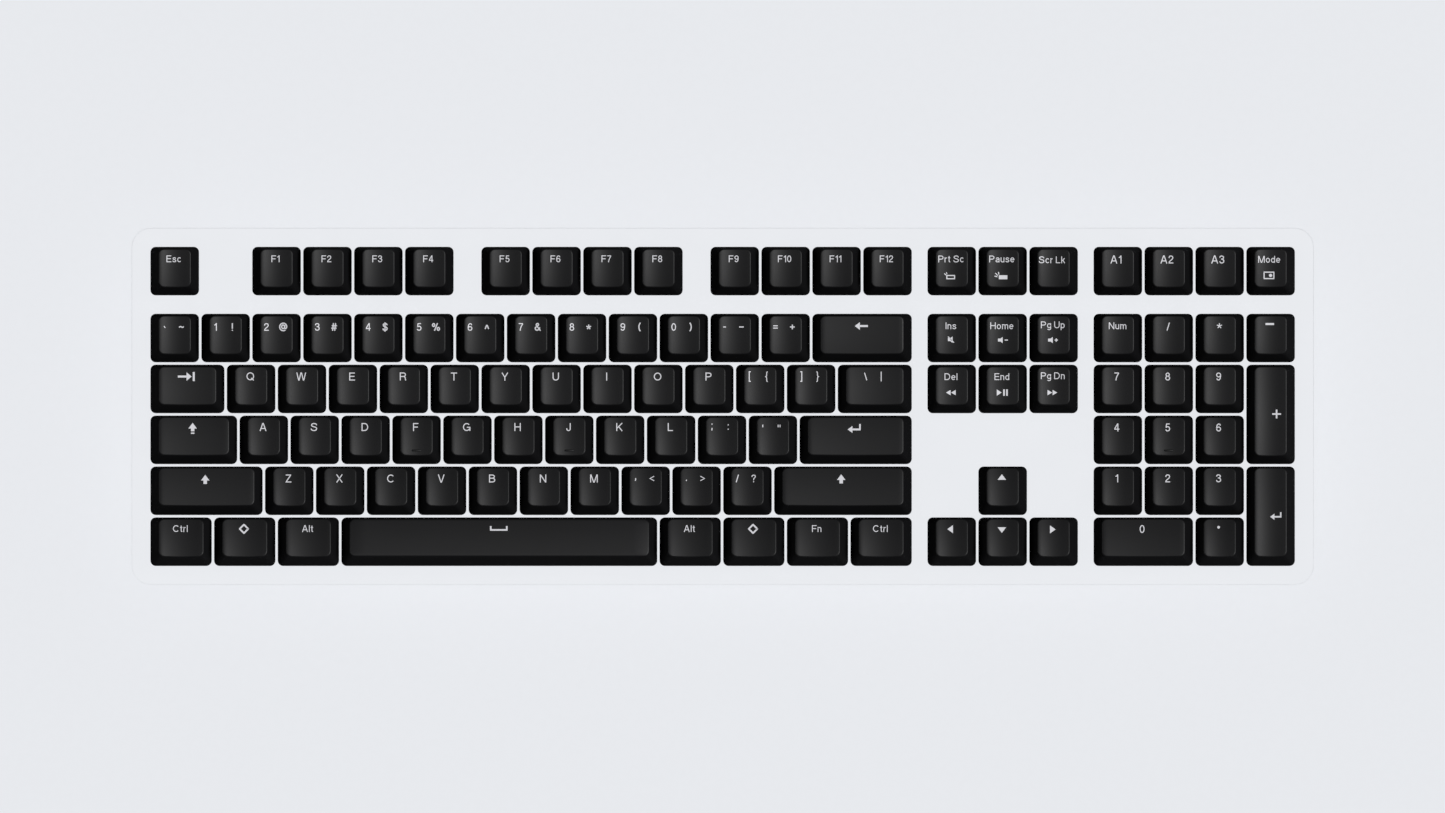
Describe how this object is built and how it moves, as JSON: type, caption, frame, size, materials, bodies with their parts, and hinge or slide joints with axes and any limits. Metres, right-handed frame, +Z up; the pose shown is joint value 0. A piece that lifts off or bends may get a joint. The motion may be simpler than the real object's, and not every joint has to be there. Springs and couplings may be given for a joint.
{
  "type": "computer keyboard",
  "caption": "Wide desktop keyboard with sculpted black keys standing over a pale plate and tray, letter keys and space bar that press, and fold-out rear feet.",
  "frame": {"origin": "centre of the footprint, on the surface the keyboard stands on", "axes": "+X along the rows towards the number pad, +Y away from the typist towards the function row, +Z up. The key deck is tilted 4 degrees about X."},
  "size_m": [0.442, 0.133, 0.0412],
  "materials": {
    "key_plastic": "satin black, finely textured",
    "switch_plastic": "dark circuit board, switches and key tops",
    "plate": "pale satin coating",
    "tray": "pale, finely textured",
    "rubber": "grey, matt",
    "silicone": "matt",
    "steel": "plain",
    "chip": "moulded"
  },
  "bodies": {
    "base": {"bottom_tray": "tray", "switch_plate": "plate", "circuit_board": "switch_plastic", "controller_chip": "chip", "usb_socket": "steel", "silicone_filler": "silicone", "front_strip": "rubber", "rear_strip": "rubber", "rear_left_screw": "steel", "rear_right_screw": "steel", "front_left_screw": "steel", "front_right_screw": "steel"},
    "key_tab": {"key_tab": "key_plastic"},
    "key_q": {"key_q": "key_plastic"},
    "key_w": {"key_w": "key_plastic"},
    "key_e": {"key_e": "key_plastic"},
    "key_r": {"key_r": "key_plastic"},
    "key_t": {"key_t": "key_plastic"},
    "key_y": {"key_y": "key_plastic"},
    "key_u": {"key_u": "key_plastic"},
    "key_i": {"key_i": "key_plastic"},
    "key_o": {"key_o": "key_plastic"},
    "key_p": {"key_p": "key_plastic"},
    "key_left_bracket": {"key_left_bracket": "key_plastic"},
    "key_right_bracket": {"key_right_bracket": "key_plastic"},
    "key_backslash": {"key_backslash": "key_plastic"},
    "key_caps_lock": {"key_caps_lock": "key_plastic"},
    "key_a": {"key_a": "key_plastic"},
    "key_s": {"key_s": "key_plastic"},
    "key_d": {"key_d": "key_plastic"},
    "key_f": {"key_f": "key_plastic"},
    "key_g": {"key_g": "key_plastic"},
    "key_h": {"key_h": "key_plastic"},
    "key_j": {"key_j": "key_plastic"},
    "key_k": {"key_k": "key_plastic"},
    "key_l": {"key_l": "key_plastic"},
    "key_semicolon": {"key_semicolon": "key_plastic"},
    "key_quote": {"key_quote": "key_plastic"},
    "key_enter": {"key_enter": "key_plastic"},
    "key_left_shift": {"key_left_shift": "key_plastic"},
    "key_z": {"key_z": "key_plastic"},
    "key_x": {"key_x": "key_plastic"},
    "key_c": {"key_c": "key_plastic"},
    "key_v": {"key_v": "key_plastic"},
    "key_b": {"key_b": "key_plastic"},
    "key_n": {"key_n": "key_plastic"},
    "key_m": {"key_m": "key_plastic"},
    "key_comma": {"key_comma": "key_plastic"},
    "key_period": {"key_period": "key_plastic"},
    "key_slash": {"key_slash": "key_plastic"},
    "key_right_shift": {"key_right_shift": "key_plastic"},
    "key_space": {"key_space": "key_plastic"},
    "enter_wire": {"enter_wire": "steel"},
    "left_shift_wire": {"left_shift_wire": "steel"},
    "right_shift_wire": {"right_shift_wire": "steel"},
    "space_wire": {"space_wire": "steel"},
    "left_foot": {"left_foot": "tray", "left_foot_tip": "rubber"},
    "right_foot": {"right_foot": "tray", "right_foot_tip": "rubber"}
  },
  "joints": [
    {"name": "tab_press", "type": "slide", "parent": "base", "child": "key_tab", "axis": [0, 0.0698, -0.9976], "range_m": [0, 0.004], "stiffness_N_per_m": 150},
    {"name": "q_press", "type": "slide", "parent": "base", "child": "key_q", "axis": [0, 0.0698, -0.9976], "range_m": [0, 0.004], "stiffness_N_per_m": 150},
    {"name": "w_press", "type": "slide", "parent": "base", "child": "key_w", "axis": [0, 0.0698, -0.9976], "range_m": [0, 0.004], "stiffness_N_per_m": 150},
    {"name": "e_press", "type": "slide", "parent": "base", "child": "key_e", "axis": [0, 0.0698, -0.9976], "range_m": [0, 0.004], "stiffness_N_per_m": 150},
    {"name": "r_press", "type": "slide", "parent": "base", "child": "key_r", "axis": [0, 0.0698, -0.9976], "range_m": [0, 0.004], "stiffness_N_per_m": 150},
    {"name": "t_press", "type": "slide", "parent": "base", "child": "key_t", "axis": [0, 0.0698, -0.9976], "range_m": [0, 0.004], "stiffness_N_per_m": 150},
    {"name": "y_press", "type": "slide", "parent": "base", "child": "key_y", "axis": [0, 0.0698, -0.9976], "range_m": [0, 0.004], "stiffness_N_per_m": 150},
    {"name": "u_press", "type": "slide", "parent": "base", "child": "key_u", "axis": [0, 0.0698, -0.9976], "range_m": [0, 0.004], "stiffness_N_per_m": 150},
    {"name": "i_press", "type": "slide", "parent": "base", "child": "key_i", "axis": [0, 0.0698, -0.9976], "range_m": [0, 0.004], "stiffness_N_per_m": 150},
    {"name": "o_press", "type": "slide", "parent": "base", "child": "key_o", "axis": [0, 0.0698, -0.9976], "range_m": [0, 0.004], "stiffness_N_per_m": 150},
    {"name": "p_press", "type": "slide", "parent": "base", "child": "key_p", "axis": [0, 0.0698, -0.9976], "range_m": [0, 0.004], "stiffness_N_per_m": 150},
    {"name": "left_bracket_press", "type": "slide", "parent": "base", "child": "key_left_bracket", "axis": [0, 0.0698, -0.9976], "range_m": [0, 0.004], "stiffness_N_per_m": 150},
    {"name": "right_bracket_press", "type": "slide", "parent": "base", "child": "key_right_bracket", "axis": [0, 0.0698, -0.9976], "range_m": [0, 0.004], "stiffness_N_per_m": 150},
    {"name": "backslash_press", "type": "slide", "parent": "base", "child": "key_backslash", "axis": [0, 0.0698, -0.9976], "range_m": [0, 0.004], "stiffness_N_per_m": 150},
    {"name": "caps_lock_press", "type": "slide", "parent": "base", "child": "key_caps_lock", "axis": [0, 0.0698, -0.9976], "range_m": [0, 0.004], "stiffness_N_per_m": 150},
    {"name": "a_press", "type": "slide", "parent": "base", "child": "key_a", "axis": [0, 0.0698, -0.9976], "range_m": [0, 0.004], "stiffness_N_per_m": 150},
    {"name": "s_press", "type": "slide", "parent": "base", "child": "key_s", "axis": [0, 0.0698, -0.9976], "range_m": [0, 0.004], "stiffness_N_per_m": 150},
    {"name": "d_press", "type": "slide", "parent": "base", "child": "key_d", "axis": [0, 0.0698, -0.9976], "range_m": [0, 0.004], "stiffness_N_per_m": 150},
    {"name": "f_press", "type": "slide", "parent": "base", "child": "key_f", "axis": [0, 0.0698, -0.9976], "range_m": [0, 0.004], "stiffness_N_per_m": 150},
    {"name": "g_press", "type": "slide", "parent": "base", "child": "key_g", "axis": [0, 0.0698, -0.9976], "range_m": [0, 0.004], "stiffness_N_per_m": 150},
    {"name": "h_press", "type": "slide", "parent": "base", "child": "key_h", "axis": [0, 0.0698, -0.9976], "range_m": [0, 0.004], "stiffness_N_per_m": 150},
    {"name": "j_press", "type": "slide", "parent": "base", "child": "key_j", "axis": [0, 0.0698, -0.9976], "range_m": [0, 0.004], "stiffness_N_per_m": 150},
    {"name": "k_press", "type": "slide", "parent": "base", "child": "key_k", "axis": [0, 0.0698, -0.9976], "range_m": [0, 0.004], "stiffness_N_per_m": 150},
    {"name": "l_press", "type": "slide", "parent": "base", "child": "key_l", "axis": [0, 0.0698, -0.9976], "range_m": [0, 0.004], "stiffness_N_per_m": 150},
    {"name": "semicolon_press", "type": "slide", "parent": "base", "child": "key_semicolon", "axis": [0, 0.0698, -0.9976], "range_m": [0, 0.004], "stiffness_N_per_m": 150},
    {"name": "quote_press", "type": "slide", "parent": "base", "child": "key_quote", "axis": [0, 0.0698, -0.9976], "range_m": [0, 0.004], "stiffness_N_per_m": 150},
    {"name": "enter_press", "type": "slide", "parent": "base", "child": "key_enter", "axis": [0, 0.0698, -0.9976], "range_m": [0, 0.004], "stiffness_N_per_m": 170},
    {"name": "left_shift_press", "type": "slide", "parent": "base", "child": "key_left_shift", "axis": [0, 0.0698, -0.9976], "range_m": [0, 0.004], "stiffness_N_per_m": 170},
    {"name": "z_press", "type": "slide", "parent": "base", "child": "key_z", "axis": [0, 0.0698, -0.9976], "range_m": [0, 0.004], "stiffness_N_per_m": 150},
    {"name": "x_press", "type": "slide", "parent": "base", "child": "key_x", "axis": [0, 0.0698, -0.9976], "range_m": [0, 0.004], "stiffness_N_per_m": 150},
    {"name": "c_press", "type": "slide", "parent": "base", "child": "key_c", "axis": [0, 0.0698, -0.9976], "range_m": [0, 0.004], "stiffness_N_per_m": 150},
    {"name": "v_press", "type": "slide", "parent": "base", "child": "key_v", "axis": [0, 0.0698, -0.9976], "range_m": [0, 0.004], "stiffness_N_per_m": 150},
    {"name": "b_press", "type": "slide", "parent": "base", "child": "key_b", "axis": [0, 0.0698, -0.9976], "range_m": [0, 0.004], "stiffness_N_per_m": 150},
    {"name": "n_press", "type": "slide", "parent": "base", "child": "key_n", "axis": [0, 0.0698, -0.9976], "range_m": [0, 0.004], "stiffness_N_per_m": 150},
    {"name": "m_press", "type": "slide", "parent": "base", "child": "key_m", "axis": [0, 0.0698, -0.9976], "range_m": [0, 0.004], "stiffness_N_per_m": 150},
    {"name": "comma_press", "type": "slide", "parent": "base", "child": "key_comma", "axis": [0, 0.0698, -0.9976], "range_m": [0, 0.004], "stiffness_N_per_m": 150},
    {"name": "period_press", "type": "slide", "parent": "base", "child": "key_period", "axis": [0, 0.0698, -0.9976], "range_m": [0, 0.004], "stiffness_N_per_m": 150},
    {"name": "slash_press", "type": "slide", "parent": "base", "child": "key_slash", "axis": [0, 0.0698, -0.9976], "range_m": [0, 0.004], "stiffness_N_per_m": 150},
    {"name": "right_shift_press", "type": "slide", "parent": "base", "child": "key_right_shift", "axis": [0, 0.0698, -0.9976], "range_m": [0, 0.004], "stiffness_N_per_m": 170},
    {"name": "space_press", "type": "slide", "parent": "base", "child": "key_space", "axis": [0, 0.0698, -0.9976], "range_m": [0, 0.004], "stiffness_N_per_m": 200},
    {"name": "enter_wire_turn", "type": "hinge", "parent": "base", "child": "enter_wire", "pos_m": [0.04977, -0.02194, 0.01552], "axis": [1, 0, 0], "range_deg": [-24.41, 0]},
    {"name": "left_shift_wire_turn", "type": "hinge", "parent": "base", "child": "left_shift_wire", "pos_m": [-0.19312, -0.04095, 0.01419], "axis": [1, 0, 0], "range_deg": [-24.41, 0]},
    {"name": "right_shift_wire_turn", "type": "hinge", "parent": "base", "child": "right_shift_wire", "pos_m": [0.04501, -0.04095, 0.01419], "axis": [1, 0, 0], "range_deg": [-24.41, 0]},
    {"name": "space_wire_turn", "type": "hinge", "parent": "base", "child": "space_wire", "pos_m": [-0.08358, -0.05995, 0.01286], "axis": [1, 0, 0], "range_deg": [-24.41, 0]},
    {"name": "left_foot_fold", "type": "hinge", "parent": "base", "child": "left_foot", "pos_m": [-0.172, 0.051, 0.0041], "axis": [1, 0, 0], "range_deg": [0, 100]},
    {"name": "right_foot_fold", "type": "hinge", "parent": "base", "child": "right_foot", "pos_m": [0.172, 0.051, 0.0041], "axis": [1, 0, 0], "range_deg": [0, 100]}
  ],
  "couplings": [
    {"joint": "enter_wire_turn", "follows": "enter_press", "rad_per_m": -106.06},
    {"joint": "left_shift_wire_turn", "follows": "left_shift_press", "rad_per_m": -106.06},
    {"joint": "right_shift_wire_turn", "follows": "right_shift_press", "rad_per_m": -106.06},
    {"joint": "space_wire_turn", "follows": "space_press", "rad_per_m": -106.06}
  ]
}
